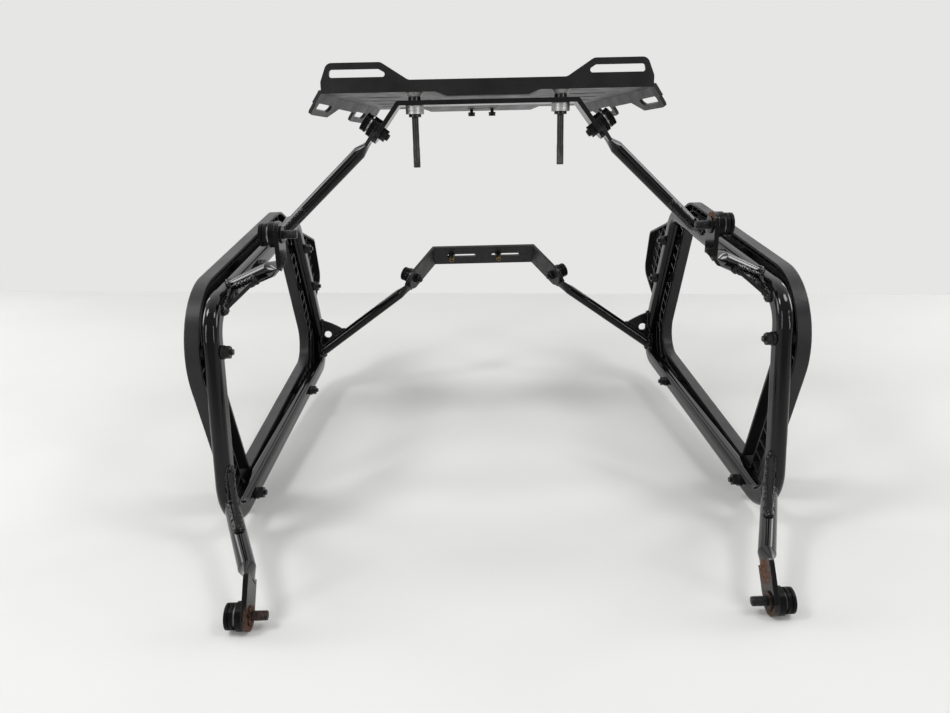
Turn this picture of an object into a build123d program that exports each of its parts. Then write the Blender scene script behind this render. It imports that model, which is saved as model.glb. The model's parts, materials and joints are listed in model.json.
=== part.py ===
from build123d import *
import math
import os

os.makedirs("parts", exist_ok=True)

# Sizes are in millimetres and angles in degrees.
# The origin is midway between the tail bolts, just under the lower faces of their retaining washers.
# X points to the left side of the vehicle, Y to the rear, Z up.

# Tail bolts and the stack they clamp
TAIL_SPACING = 175.8
TAIL_HANG = 58.0
BOLT_D = 8.0
BOLT_FIT = 0.5
BOLT_SHANK_D = 7.2
TAIL_HEAD_D = 15.0
HEAD_D = 14.0
HEAD_H = 3.5
SOCKET_AF = 5.0
SOCKET_DEPTH = 2.0
SPACER_D = 22.0
SPACER_H = 9.5
RETAINER_D = 15.0
RETAINER_H = 3.4
RETAINER_CLEAR = 0.6
COLLAR_H = 9.5
COLLAR_NECK_D = 15.0
COLLAR_TOP_D = 22.0

# Cross strap
STRAP_W = 30.0
STRAP_T = 5.5
STRAP_BEND_PAST = 19.1
STRAP_DROP = 53.0
STRAP_JOINT = 40.0

# Rack plate, a folded sheet
SHEET_T = 4.0
PLATE_AHEAD = 14.0
PLATE_LENGTH = 322.0
PLATE_HALF_FRONT = 199.0
PLATE_HALF_REAR = 164.0
CHANNEL_DEPTH = 5.0
CHANNEL_HALF_FRONT = 48.0
CHANNEL_HALF_REAR = 80.0
CHANNEL_RAMP = 14.0
FLANGE_HALF = 196.5
FLANGE_VALLEY_HALF = 93.5
FLANGE_VALLEY_H = 13.5
FLANGE_TOP_H = 33.5
FLANGE_SHOULDER_IN = 125.0
FLANGE_SHOULDER_OUT = 188.0
FLANGE_CHEEK_H = 13.0
FLANGE_CORNER_R = 9.0
HANDLE_TOP_H = 26.2
HANDLE_BOTTOM_H = 17.2
HANDLE_INSET = 3.0
HANDLE_FLARE_IN = 15.5
HANDLE_FLARE_OUT = 1.5
HANDLE_R = 3.0
WING_LEAN = 35.0
WING_BAND = 16.0
LOOP_DEPTH = 30.0
LOOP_HOLE_TOP = 14.0
LOOP_HOLE_H = 9.0
LOOP_STARTS = (4.0, 184.0)
LOOP_LENGTH = 100.0
LOOP_HOLE_LENGTH = 64.0
LOOP_SLANT = 30.0
LOOP_BAR = 10.0
LOOP_R = 6.0
RACK_SLOT_L = 46.0
RACK_SLOT_W = 9.0
RACK_SLOT_ROWS = (62.0, 122.0, 182.0, 236.0)

# Small screws under the rear of the rack plate
PLATE_SCREW_D = 5.0
PLATE_SCREW_HALF = 16.0
PLATE_SCREW_INSET = 42.0
PLATE_SCREW_HEAD_D = 10.0
PLATE_SCREW_HEAD_H = 2.5
PLATE_SCREW_HANG = 4.5
PLATE_NUT_D = 11.0
PLATE_NUT_FLANGE_H = 1.4
PLATE_NUT_AF = 9.0
PLATE_NUT_H = 5.5

# Side rings, drawn in Y and Z, counterclockwise from the front bottom corner
RING_IN = 277.0
RING_DEPTH = 17.0
RING_W = 23.0
RING_FLAT = 2.0
RING_CORNERS = ((-248.0, -428.0), (332.0, -391.0), (175.0, -121.0), (-224.0, -177.0))
RING_RADII = (55.0, 50.0, 45.0, 50.0)

# Cover rings
COVER_GAP = 2.5
COVER_DEPTH = 15.0
COVER_WALL = 3.0
COVER_EDGE_R = 2.0
COVER_OUTER = ((-158.0, -430.0), (337.0, -393.0), (300.0, -304.0), (390.0, -254.0),
               (362.0, -182.0), (262.0, -158.0), (143.0, -116.0), (-259.0, -176.0))
COVER_OUTER_RADII = (25.0, 50.0, 20.0, 20.0, 14.0, 60.0, 60.0, 78.0)
COVER_INNER = ((-117.0, -400.0), (266.0, -360.0), (153.0, -147.0), (-201.0, -196.0))
COVER_INNER_RADII = (8.0, 35.0, 30.0, 35.0)
RIB_T = 1.8
RIB_PITCH = 19.0
RIB_SETBACK = 4.0
RIB_LOOPS = 6
BOSS_D = 14.0

# Cover screws, the shares of the way along each of the ring's four limbs
SCREW_D = 6.0
SCREW_FIT = 0.6
SCREW_FLANGE_D = 14.5
SCREW_FLANGE_H = 2.5
SCREW_AF = 11.5
SCREW_HEX_H = 6.0
SCREW_TIP = 3.0
SCREW_BITE = 8.0
SCREW_SHARES = ((0.70, 0.135), (0.82, 0.558), (0.595,), (0.183,))

# Round tubes and their flattened ends
TUBE_D = 16.0
FLAT_T = 4.5
FLAT_W = 26.0
FLAT_REACH = 20.0
FLAT_TAPER = 18.0
FOOT_EYE = (228.5, -370.5, -425.5)
FOOT_REACH = 30.0
FOOT_RISE = 58.0
LEG_TOP = (282.0, -230.5, -389.5)
ARM_EYE = (214.5, -197.0, -116.0)
ARM_REACH = 29.0
ARM_ROOT = (280.5, -156.0, -174.0)
STAY_ROOT = (279.0, 67.0, -142.0)
REAR_STAY_ROOT = (286.0, 278.0, -368.0)
ROOT_TRIM = 6.0

# Three-cornered plates welded between the tubes and the ring
GUSSET_T = 4.0
GUSSET_UP = 62.0
GUSSET_OUT = 62.0
GUSSET_BULGE = 0.53
GUSSET_TOP_SHARE = 0.26
GUSSET_HOLE_D = 12.0
GUSSET_HOLE_UP = 22.0
GUSSET_HOLE_OUT = 21.0
LEG_WEB_UP = 50.0
LEG_WEB_OUT = 80.0
STAY_WEB_AHEAD = 46.0
STAY_WEB_OUT = 66.0
ARM_WEB_AHEAD = 50.0
ARM_WEB_OUT = 54.0
ARM_WEB_DROP = 24.0

# Rear bracket, a bent strip whose face leans forward and down
BRACKET_T = 4.5
BRACKET_W = 38.0
BRACKET_HALF = 86.0
BRACKET_Y = 337.0
BRACKET_Z = -212.0
BRACKET_LEAN = 35.0
BRACKET_BEND = 60.0
BRACKET_JOINT = 62.0
BRACKET_SLOT_L = 49.0
BRACKET_SLOT_W = 7.0
BRACKET_SLOT_X = 38.0
SLOT_SCREW_PLACES = (-55.0, 26.0)
SLOT_SCREW_D = 6.0
SLOT_NUT_AF = 10.0
SLOT_NUT_H = 5.0
SLOT_TIP_D = 8.0
SLOT_TIP_H = 6.0
SLOT_HEAD_D = 12.0
SLOT_HEAD_H = 4.0

# Eight like fasteners
DISC_IN_D = 25.5
DISC_IN_H = 6.0
DISC_RING_D = 18.0
DISC_RING_H = 2.5
DISC_OUT_D = 23.0
DISC_OUT_H = 7.0
DISC_GROOVE = 1.2
NUT_AF = 13.0
NUT_H = 6.5
BOLT_TIP = 3.0
WASHER_D = 17.0
WASHER_T = 1.6

# Places worked out from the sizes above
SPACER_Z = RETAINER_CLEAR + RETAINER_H
STRAP_Z = SPACER_Z + SPACER_H
STRAP_BEND_X = TAIL_SPACING / 2 + STRAP_BEND_PAST
PLATE_Z = STRAP_Z + STRAP_T + COLLAR_H
RING_OUT = RING_IN + RING_DEPTH
RIM_X = RING_OUT + COVER_GAP
COVER_OUT = RIM_X + COVER_DEPTH
HOLE_D = BOLT_D + BOLT_FIT
THREAD_FROM = FLAT_T + WASHER_T
BOLT_REACH = FLAT_T + max(STRAP_T, BRACKET_T) + NUT_H + BOLT_TIP
STRAP_END = STRAP_JOINT + STRAP_W / 2
BRACKET_END = BRACKET_JOINT + BRACKET_W / 2


def rounded_face(corners, radii):
    """Flat face with straight sides and one radius for each corner."""
    turns = []
    for i, corner in enumerate(corners):
        here = Vector(*corner)
        back = (Vector(*corners[i - 1]) - here).normalized()
        ahead = (Vector(*corners[(i + 1) % len(corners)]) - here).normalized()
        half = math.acos(back.dot(ahead)) / 2
        middle = (back + ahead).normalized()
        reach = radii[i] / math.tan(half)
        depth = radii[i] / math.sin(half) - radii[i]
        turns.append((here + back * reach, here + middle * depth, here + ahead * reach))
    edges = []
    for i, turn in enumerate(turns):
        edges.append(Edge.make_three_point_arc(*turn))
        edges.append(Edge.make_line(turn[2], turns[(i + 1) % len(turns)][0]))
    return Face(Wire(edges))


def inset(corners, radii, amount):
    """Corners and radii of the same counterclockwise outline moved inward by amount."""
    moved = []
    bends = []
    for i, corner in enumerate(corners):
        here = Vector(*corner)
        came = (here - Vector(*corners[i - 1])).normalized()
        goes = (Vector(*corners[(i + 1) % len(corners)]) - here).normalized()
        turn = came.X * goes.Y - came.Y * goes.X
        inward = Vector(-came.Y, came.X) + Vector(-goes.Y, goes.X)
        spot = here + inward * (amount / (1 + came.dot(goes)))
        moved.append((spot.X, spot.Y))
        bends.append(max(radii[i] - amount if turn > 0 else radii[i] + amount, 1.0))
    return moved, bends


def side_prism(face, start, depth):
    """Stand a Y, Z face up at X = start and give it depth toward +X."""
    return extrude(Plane.YZ.offset(start) * face, depth)


def rod(start, end, diameter):
    """Round bar between two points."""
    along = Vector(*end) - Vector(*start)
    return extrude(Plane(start, z_dir=along) * Circle(diameter / 2), along.length)


def stack(plane, diameter, low, high):
    """Round bar on a plane's axis from one height to another."""
    return extrude(plane.offset(low) * Circle(diameter / 2), high - low)


def hex_bar(plane, across, low, high):
    """Hexagonal bar on a plane's axis from one height to another."""
    return extrude(plane.offset(low) * RegularPolygon(across / 2, 6, major_radius=False), high - low)


def other_side(shape):
    """Mirror a left part to the right side."""
    return mirror(shape, about=Plane.YZ)


def both_sides(solids):
    """The same solids on the left and on the right."""
    return solids + [other_side(solid) for solid in solids]


def save(name, shapes):
    """Write one node; a list becomes a group of separate solids."""
    solids = []
    for shape in shapes if isinstance(shapes, list) else [shapes]:
        solids.extend(shape.solids())
    export_step(solids[0] if len(solids) == 1 else Compound(children=solids), f"parts/{name}.step")


def flat_ended_tube(eye, normal, flat_dir, root, reach=FLAT_REACH):
    """Round tube from root to a flattened end with an eye, and the direction from the bend to the root.

    eye is the centre of the flat, normal its face direction, flat_dir runs from the eye to the bend.
    """
    eye = Vector(*eye)
    root = Vector(*root)
    across = normal.cross(flat_dir).normalized()
    bend = eye + flat_dir * reach
    axis = (root - bend).normalized()
    neck = bend + axis * FLAT_TAPER
    flat_plane = Plane(eye, x_dir=flat_dir, z_dir=normal)
    flat = Pos(reach / 2, 0) * Rectangle(reach, FLAT_W) + Circle(FLAT_W / 2)
    flat = extrude(flat_plane.offset(-FLAT_T / 2) * flat, FLAT_T)
    crease = Plane(bend, x_dir=across, z_dir=flat_dir + axis)
    heel = extrude(flat_plane.offset(-FLAT_T / 2) * Pos(reach, 0) * Circle(FLAT_W / 2), FLAT_T)
    heel = split(heel, bisect_by=crease, keep=Keep.BOTTOM)
    squeezed = crease * Ellipse(FLAT_W / 2, FLAT_T * 0.6)
    whole = Plane(neck, x_dir=across, z_dir=axis) * Circle(TUBE_D / 2)
    taper = loft([squeezed, whole])
    tube = rod(neck, root, TUBE_D)
    eye_hole = stack(flat_plane, HOLE_D, -FLAT_T, FLAT_T)
    return flat + heel + taper + tube - eye_hole, axis


def inboard(shape):
    """The part of a shape that stops just inside the ring's inboard face."""
    return split(shape, bisect_by=Plane.YZ.offset(RING_IN + ROOT_TRIM), keep=Keep.BOTTOM)


def web(corner, one_way, one_length, other_way, other_length, fixed):
    """Three-cornered plate from a corner along two directions, less the pieces it is welded to."""
    plane = Plane(corner, x_dir=one_way, z_dir=one_way.cross(other_way))
    slant = math.radians(one_way.get_angle(other_way))
    tip = (other_length * math.cos(slant), other_length * math.sin(slant))
    face = make_face(Polyline((0, 0), (one_length, 0), tip, close=True))
    plate = inboard(extrude(plane.offset(-GUSSET_T / 2) * face, GUSSET_T)) - fixed
    return plate.solids().sort_by(SortBy.VOLUME)[-1]


def in_plane(direction, normal):
    """The part of a direction that lies in the plane with this normal."""
    return (direction - normal * direction.dot(normal)).normalized()


# Side ring
ring_inner, ring_inner_radii = inset(RING_CORNERS, RING_RADII, RING_W)
ring_middle, _ = inset(RING_CORNERS, RING_RADII, RING_W / 2)
ring_face = rounded_face(RING_CORNERS, RING_RADII) - rounded_face(ring_inner, ring_inner_radii)
ring_body = side_prism(ring_face, RING_IN, RING_DEPTH)
ring_body = fillet(ring_body.edges(), (RING_DEPTH - RING_FLAT) / 2)
screw_spots = []
for limb, shares in enumerate(SCREW_SHARES):
    limb_start = Vector(*ring_middle[limb])
    limb_end = Vector(*ring_middle[(limb + 1) % len(ring_middle)])
    screw_spots += [limb_start + (limb_end - limb_start) * share for share in shares]
screw_planes = [Plane((RING_IN, spot.X, spot.Y), z_dir=(1, 0, 0)) for spot in screw_spots]
ring = ring_body - [stack(p, SCREW_D + SCREW_FIT, -1, RING_DEPTH + 1) for p in screw_planes]

# Cover screws: a flanged hex inboard of the ring, the shank through ring and gap into a boss
SCREW_END = RING_DEPTH + SCREW_BITE
cover_screws = []
for plane in screw_planes:
    screw = stack(plane, SCREW_FLANGE_D, -SCREW_FLANGE_H, 0)
    screw += hex_bar(plane, SCREW_AF, -SCREW_FLANGE_H - SCREW_HEX_H, -SCREW_FLANGE_H)
    screw += stack(plane, SCREW_D, -SCREW_FLANGE_H - SCREW_HEX_H - SCREW_TIP, SCREW_END)
    cover_screws.append(screw)

# Cover ring: a shallow tray open toward the ring, with rims, ribs and screw bosses
cover_hole = rounded_face(COVER_INNER, COVER_INNER_RADII)
tray = side_prism(rounded_face(COVER_OUTER, COVER_OUTER_RADII) - cover_hole, RIM_X, COVER_DEPTH)
tray = fillet(tray.faces().sort_by(Axis.X)[-1].edges(), COVER_EDGE_R)
pocket = rounded_face(*inset(COVER_OUTER, COVER_OUTER_RADII, COVER_WALL))
pocket -= rounded_face(*inset(COVER_INNER, COVER_INNER_RADII, -COVER_WALL))
ribs = []
for loop in range(1, RIB_LOOPS + 1):
    wide = rounded_face(*inset(COVER_INNER, COVER_INNER_RADII, -loop * RIB_PITCH - RIB_T))
    ribs.append(wide - rounded_face(*inset(COVER_INNER, COVER_INNER_RADII, -loop * RIB_PITCH)))
for i, corner in enumerate(COVER_INNER):
    limb_start = Vector(*corner)
    limb_way = Vector(*COVER_INNER[(i + 1) % len(COVER_INNER)]) - limb_start
    heading = math.degrees(math.atan2(limb_way.Y, limb_way.X))
    count = int(limb_way.length / RIB_PITCH)
    for k in range(count + 1):
        spot = limb_start + limb_way * ((k + 0.5) / (count + 1))
        reach = RIB_LOOPS * RIB_PITCH
        middle = RIB_PITCH + reach / 2
        ribs.append(Pos(spot.X, spot.Y) * Rot(0, 0, heading) * Pos(0, -middle) * Rectangle(RIB_T, reach))
cells = pocket - ribs
POCKET_DEPTH = COVER_DEPTH - COVER_WALL
cover = tray - side_prism(pocket, RIM_X, RIB_SETBACK)
cover -= side_prism(cells, RIM_X + RIB_SETBACK, POCKET_DEPTH - RIB_SETBACK)
cover += [stack(p, BOSS_D, RING_DEPTH, RING_DEPTH + COVER_GAP + POCKET_DEPTH + COVER_WALL / 2)
          for p in screw_planes]
cover -= [stack(p, SCREW_D + SCREW_FIT, RING_DEPTH - 1, SCREW_END + 0.5) for p in screw_planes]

# Front leg, from the flattened foot back to the front of the ring, with a web above it
side_ways = Vector(1, 0, 0)
foot_rise = math.radians(FOOT_RISE)
foot_dir = Vector(0, math.cos(foot_rise), math.sin(foot_rise))
leg_tube, leg_way = flat_ended_tube(FOOT_EYE, side_ways, foot_dir, LEG_TOP, FOOT_REACH)
front_leg = inboard(leg_tube) - ring_body
limb_way = Vector(*RING_CORNERS[3]) - Vector(*RING_CORNERS[0])
front_limb_up = Vector(0, limb_way.X, limb_way.Y).normalized()
leg_web = web(Vector(*LEG_TOP), -leg_way, LEG_WEB_OUT, front_limb_up, LEG_WEB_UP, [leg_tube, ring_body])

# Mount arm, from the upright tab out to the inboard face of the ring, with a web ahead of it
arm_tube, arm_way = flat_ended_tube(ARM_EYE, side_ways, Vector(0, 0, -1), ARM_ROOT, ARM_REACH)
mount_arm = inboard(arm_tube) - ring_body
web_drop = math.radians(ARM_WEB_DROP)
arm_web_way = Vector(0, -math.cos(web_drop), -math.sin(web_drop))
arm_web = web(Vector(*ARM_ROOT), -arm_way, ARM_WEB_OUT, arm_web_way, ARM_WEB_AHEAD, [arm_tube, ring_body])

# Cross strap with bent ends; the joint frame lies on the outer face of the bent end
drop = math.radians(STRAP_DROP)
strap_end_dir = Vector(math.cos(drop), 0, -math.sin(drop))
strap_out = Vector(math.sin(drop), 0, math.cos(drop))
bend = Vector(STRAP_BEND_X, 0, STRAP_Z + STRAP_T / 2)
strap_joint = bend + strap_end_dir * STRAP_JOINT
strap_end_plane = Plane(bend, x_dir=strap_end_dir, z_dir=strap_out)
strap_end = Pos(STRAP_JOINT / 2, 0) * Rectangle(STRAP_JOINT, STRAP_W)
strap_end += Pos(STRAP_JOINT, 0) * Circle(STRAP_W / 2)
strap_end = extrude(strap_end_plane.offset(-STRAP_T / 2) * strap_end, STRAP_T)
strap_end += Plane.XZ * Pos(bend.X, bend.Z) * Cylinder(STRAP_T / 2, STRAP_W)
strap = Pos(0, 0, bend.Z) * Box(2 * STRAP_BEND_X, STRAP_W, STRAP_T) + both_sides([strap_end])
strap -= both_sides([stack(Plane(strap_joint, z_dir=strap_out), HOLE_D, -STRAP_T, STRAP_T)])
tail_plane = Plane((TAIL_SPACING / 2, 0, 0))
strap -= both_sides([stack(tail_plane, HOLE_D, 0, PLATE_Z)])

# Upper stay, flattened against the outer face of the strap's bent end, with a web ahead of it
stay_eye = strap_joint + strap_out * ((STRAP_T + FLAT_T) / 2)
stay_dir = in_plane(Vector(*STAY_ROOT) - stay_eye, strap_out)
stay_tube, stay_way = flat_ended_tube(stay_eye, strap_out, stay_dir, STAY_ROOT)
upper_stay = inboard(stay_tube) - ring_body
limb_way = Vector(*RING_CORNERS[3]) - Vector(*RING_CORNERS[2])
top_limb_ahead = Vector(0, limb_way.X, limb_way.Y).normalized()
stay_web = web(Vector(*STAY_ROOT), -stay_way, STAY_WEB_OUT, top_limb_ahead, STAY_WEB_AHEAD,
               [stay_tube, ring_body])

# Rear bracket: centre strip and two bent ends
lean = math.radians(BRACKET_LEAN)
fold = math.radians(BRACKET_BEND)
bracket_face = Vector(0, -math.cos(lean), -math.sin(lean))
bracket_mid = Vector(0, BRACKET_Y, BRACKET_Z)
bracket_corner = bracket_mid + Vector(BRACKET_HALF, 0, 0)
bracket_end_dir = Vector(math.cos(fold), 0, 0) + bracket_face * math.sin(fold)
bracket_out = Vector(math.sin(fold), 0, 0) - bracket_face * math.cos(fold)
bracket_joint = bracket_corner + bracket_end_dir * BRACKET_JOINT
end_plane = Plane(bracket_corner, x_dir=bracket_end_dir, z_dir=bracket_out)
bracket_end = Pos(BRACKET_JOINT / 2, 0) * Rectangle(BRACKET_JOINT, BRACKET_W)
bracket_end += Pos(BRACKET_JOINT, 0) * Circle(BRACKET_W / 2)
bracket_end = extrude(end_plane.offset(-BRACKET_T / 2) * bracket_end, BRACKET_T)
fold_plane = Plane(bracket_corner, x_dir=(1, 0, 0), z_dir=bracket_face.cross(Vector(1, 0, 0)))
bracket_end += stack(fold_plane, BRACKET_T, -BRACKET_W / 2, BRACKET_W / 2)
bracket_end -= stack(Plane(bracket_joint, z_dir=bracket_out), HOLE_D, -BRACKET_T, BRACKET_T)
centre_plane = Plane(bracket_mid, x_dir=(1, 0, 0), z_dir=bracket_face)
bracket = extrude(centre_plane.offset(-BRACKET_T / 2) * Rectangle(2 * BRACKET_HALF, BRACKET_W), BRACKET_T)
bracket += both_sides([bracket_end])
for side in (-1, 1):
    slot = Pos(side * BRACKET_SLOT_X, 0) * SlotOverall(BRACKET_SLOT_L, BRACKET_SLOT_W)
    bracket -= extrude(centre_plane.offset(-BRACKET_T) * slot, 2 * BRACKET_T)

# Small screws through the bracket's slots: head behind, nut on the forward face, socketed tip
slot_screws = []
slot_nuts = []
for x in SLOT_SCREW_PLACES:
    slot_plane = Plane(bracket_mid + Vector(x, 0, 0), x_dir=(1, 0, 0), z_dir=bracket_face)
    nut_top = BRACKET_T / 2 + SLOT_NUT_H
    slot_nut = hex_bar(slot_plane, SLOT_NUT_AF, BRACKET_T / 2, nut_top)
    slot_nuts.append(slot_nut - stack(slot_plane, SLOT_SCREW_D + BOLT_FIT, 0, nut_top))
    slot_screw = stack(slot_plane, SLOT_HEAD_D, -BRACKET_T / 2 - SLOT_HEAD_H, -BRACKET_T / 2)
    slot_screw += stack(slot_plane, SLOT_SCREW_D, -BRACKET_T / 2, nut_top)
    slot_screw += stack(slot_plane, SLOT_TIP_D, nut_top, nut_top + SLOT_TIP_H)
    slot_screw -= hex_bar(slot_plane, SOCKET_AF, nut_top + SLOT_TIP_H - SOCKET_DEPTH, nut_top + SLOT_TIP_H)
    slot_screws.append(slot_screw)

# Rear stay, flattened against the outer face of the bracket's bent end
rear_eye = bracket_joint + bracket_out * ((BRACKET_T + FLAT_T) / 2)
rear_dir = in_plane(Vector(*REAR_STAY_ROOT) - rear_eye, bracket_out)
rear_tube, rear_way = flat_ended_tube(rear_eye, bracket_out, rear_dir, REAR_STAY_ROOT)
rear_stay = inboard(rear_tube) - ring_body

# Gusset between the rear stay and the ring's rear limb
tube_way = -rear_way
limb_start = Vector(*ring_middle[1])
limb_spot = limb_start + (Vector(*ring_middle[2]) - limb_start) * GUSSET_TOP_SHARE
gusset_root = Vector(*REAR_STAY_ROOT)
limb_up = (Vector(gusset_root.X, limb_spot.X, limb_spot.Y) - gusset_root).normalized()
gusset_plane = Plane(gusset_root, x_dir=tube_way, z_dir=tube_way.cross(limb_up))
slant = math.radians(tube_way.get_angle(limb_up))
up_way = Vector(math.cos(slant), math.sin(slant))
tip = up_way * GUSSET_UP
foot = Vector(GUSSET_OUT, 0)
bulge = (tip + foot) * GUSSET_BULGE
gusset_face = Face(Wire([Edge.make_line((0, 0), foot), Edge.make_three_point_arc(foot, bulge, tip),
                         Edge.make_line(tip, (0, 0))]))
hole_spot = up_way * GUSSET_HOLE_UP + Vector(GUSSET_HOLE_OUT, 0)
gusset_face -= Pos(hole_spot.X, hole_spot.Y) * Circle(GUSSET_HOLE_D / 2)
gusset = extrude(gusset_plane.offset(-GUSSET_T / 2) * gusset_face, GUSSET_T)
gusset = inboard(gusset) - rear_tube - ring_body
gusset = gusset.solids().sort_by(SortBy.VOLUME)[-1]

# Tail stack
tail_top = PLATE_Z + SHEET_T
head_low = tail_top - HEAD_H
sunk_head = loft([tail_plane.offset(head_low) * Circle(BOLT_D / 2),
                  tail_plane.offset(tail_top) * Circle(TAIL_HEAD_D / 2)])
thread_top = RETAINER_CLEAR / 2
tail_bolt = stack(tail_plane, BOLT_D, -TAIL_HANG, thread_top)
tail_bolt += stack(tail_plane, BOLT_SHANK_D, thread_top, head_low) + sunk_head
tail_bolt -= hex_bar(tail_plane, SOCKET_AF, tail_top - SOCKET_DEPTH, tail_top)
tail_bore = stack(tail_plane, HOLE_D, -TAIL_HANG, tail_top)
spacer = stack(tail_plane, SPACER_D, SPACER_Z, STRAP_Z) - tail_bore
retainer = stack(tail_plane, RETAINER_D, RETAINER_CLEAR, SPACER_Z) - tail_bore
collar_foot = STRAP_Z + STRAP_T
collar = Pos(TAIL_SPACING / 2, 0, collar_foot + COLLAR_H * 0.75)
collar = collar * Cone(COLLAR_NECK_D / 2, COLLAR_TOP_D / 2, COLLAR_H / 2)
collar = collar + stack(tail_plane, COLLAR_NECK_D, collar_foot, collar_foot + COLLAR_H / 2) - tail_bore


# Rack plate: flats, a sunk channel and its ramps, a front flange, side wings with strap loops
plate_front = -PLATE_AHEAD
plate_rear = plate_front + PLATE_LENGTH
channel_low = PLATE_Z - CHANNEL_DEPTH
ramp_front = CHANNEL_HALF_FRONT + CHANNEL_RAMP
ramp_rear = CHANNEL_HALF_REAR + CHANNEL_RAMP
flat = make_face(Polyline((ramp_front, plate_front), (PLATE_HALF_FRONT, plate_front),
                          (PLATE_HALF_REAR, plate_rear), (ramp_rear, plate_rear), close=True))
flat = extrude(Plane.XY.offset(PLATE_Z) * flat, SHEET_T)
floor = make_face(Polyline((-CHANNEL_HALF_FRONT, plate_front), (CHANNEL_HALF_FRONT, plate_front),
                           (CHANNEL_HALF_REAR, plate_rear), (-CHANNEL_HALF_REAR, plate_rear), close=True))
floor = extrude(Plane.XY.offset(channel_low) * floor, SHEET_T)
ramp_plane = Plane((0, plate_front, channel_low), x_dir=(1, 0, 0), z_dir=(0, -1, 0))
ramp = make_face(Polyline((CHANNEL_HALF_FRONT, 0), (ramp_front, CHANNEL_DEPTH),
                          (ramp_front, CHANNEL_DEPTH + SHEET_T), (CHANNEL_HALF_FRONT, SHEET_T), close=True))
ramp_way = Vector(CHANNEL_HALF_REAR - CHANNEL_HALF_FRONT, PLATE_LENGTH, 0)
ramp = extrude(ramp_plane * ramp, ramp_way.length, dir=ramp_way)
plate = floor + both_sides([flat, ramp])
flange_right = [(CHANNEL_HALF_FRONT, -CHANNEL_DEPTH), (CHANNEL_HALF_FRONT + CHANNEL_RAMP, 0),
                (FLANGE_HALF, 0), (FLANGE_HALF, FLANGE_CHEEK_H), (FLANGE_SHOULDER_OUT, FLANGE_TOP_H),
                (FLANGE_SHOULDER_IN, FLANGE_TOP_H), (FLANGE_VALLEY_HALF, FLANGE_VALLEY_H)]
flange_points = flange_right + [(-x, z) for x, z in reversed(flange_right)]
flange = make_face(Polyline(*flange_points, close=True))
flange_tops = [v for v in flange.vertices() if v.Y > FLANGE_VALLEY_H / 2]
flange = fillet(flange_tops, FLANGE_CORNER_R)
handle = [(FLANGE_SHOULDER_IN + HANDLE_INSET, HANDLE_TOP_H),
          (FLANGE_SHOULDER_OUT - HANDLE_INSET, HANDLE_TOP_H),
          (FLANGE_SHOULDER_OUT - HANDLE_INSET + HANDLE_FLARE_OUT, HANDLE_BOTTOM_H),
          (FLANGE_SHOULDER_IN + HANDLE_INSET - HANDLE_FLARE_IN, HANDLE_BOTTOM_H)]
handle = make_face(Polyline(*handle, close=True))
handle = fillet(handle.vertices(), HANDLE_R)
flange -= handle + mirror(handle, about=Plane.YZ)
flange_plane = Plane((0, plate_front + SHEET_T, PLATE_Z), x_dir=(1, 0, 0), z_dir=(0, -1, 0))
plate += extrude(flange_plane * flange, SHEET_T)
hinge_start = Vector(PLATE_HALF_FRONT, plate_front, PLATE_Z + SHEET_T)
hinge_end = Vector(PLATE_HALF_REAR, plate_rear, PLATE_Z + SHEET_T)
hinge_dir = (hinge_end - hinge_start).normalized()
wing_lean = math.radians(WING_LEAN)
wing_down = Vector(math.sin(wing_lean), 0, -math.cos(wing_lean))
wing_plane = Plane(hinge_start, x_dir=hinge_dir, z_dir=hinge_dir.cross(in_plane(wing_down, hinge_dir)))
wing = Pos(PLATE_LENGTH / 2, WING_BAND / 2) * Rectangle(PLATE_LENGTH, WING_BAND)
for start in LOOP_STARTS:
    end = start + LOOP_LENGTH
    loop = make_face(Polyline((start, 0), (end, 0), (end, WING_BAND), (end - LOOP_SLANT, LOOP_DEPTH),
                              (start, LOOP_DEPTH), close=True))
    wing += fillet(loop.vertices().sort_by(Axis.Y)[-2:], LOOP_R)
for start in LOOP_STARTS:
    near = start + LOOP_BAR
    far = near + LOOP_HOLE_LENGTH
    low = LOOP_HOLE_TOP + LOOP_HOLE_H
    hole = make_face(Polyline((near, LOOP_HOLE_TOP), (far, LOOP_HOLE_TOP), (far - LOOP_SLANT / 2, low),
                              (near, low), close=True))
    wing -= fillet(hole.vertices(), LOOP_R / 2)
wing = extrude(wing_plane * wing, SHEET_T)
plate += both_sides([wing])
plate -= both_sides([stack(tail_plane, HOLE_D, PLATE_Z, tail_top), sunk_head])
for y in RACK_SLOT_ROWS:
    share = (y - plate_front) / PLATE_LENGTH
    channel = CHANNEL_HALF_FRONT + share * (CHANNEL_HALF_REAR - CHANNEL_HALF_FRONT) + CHANNEL_RAMP
    half = PLATE_HALF_FRONT + share * (PLATE_HALF_REAR - PLATE_HALF_FRONT)
    for x in (-(channel + half) / 2, 0, (channel + half) / 2):
        slot = Pos(x, y, channel_low - 1) * SlotOverall(RACK_SLOT_L, RACK_SLOT_W)
        plate -= extrude(slot, CHANNEL_DEPTH + SHEET_T + 2)

# Small screws through the rear of the rack plate, the flanged hexes standing off below it
plate_screw_plane = Plane((PLATE_SCREW_HALF, plate_rear - PLATE_SCREW_INSET, channel_low))
plate_screw = stack(plate_screw_plane, PLATE_SCREW_HEAD_D, SHEET_T, SHEET_T + PLATE_SCREW_HEAD_H)
plate_screw += stack(plate_screw_plane, PLATE_SCREW_D, -PLATE_SCREW_HANG, SHEET_T)
nut_high = -PLATE_SCREW_HANG
plate_screw += stack(plate_screw_plane, PLATE_NUT_D, nut_high - PLATE_NUT_FLANGE_H, nut_high)
plate_screw += hex_bar(plate_screw_plane, PLATE_NUT_AF, nut_high - PLATE_NUT_H, nut_high)
plate -= both_sides([stack(plate_screw_plane, PLATE_SCREW_D + BOLT_FIT, -1, SHEET_T + 1)])

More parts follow.
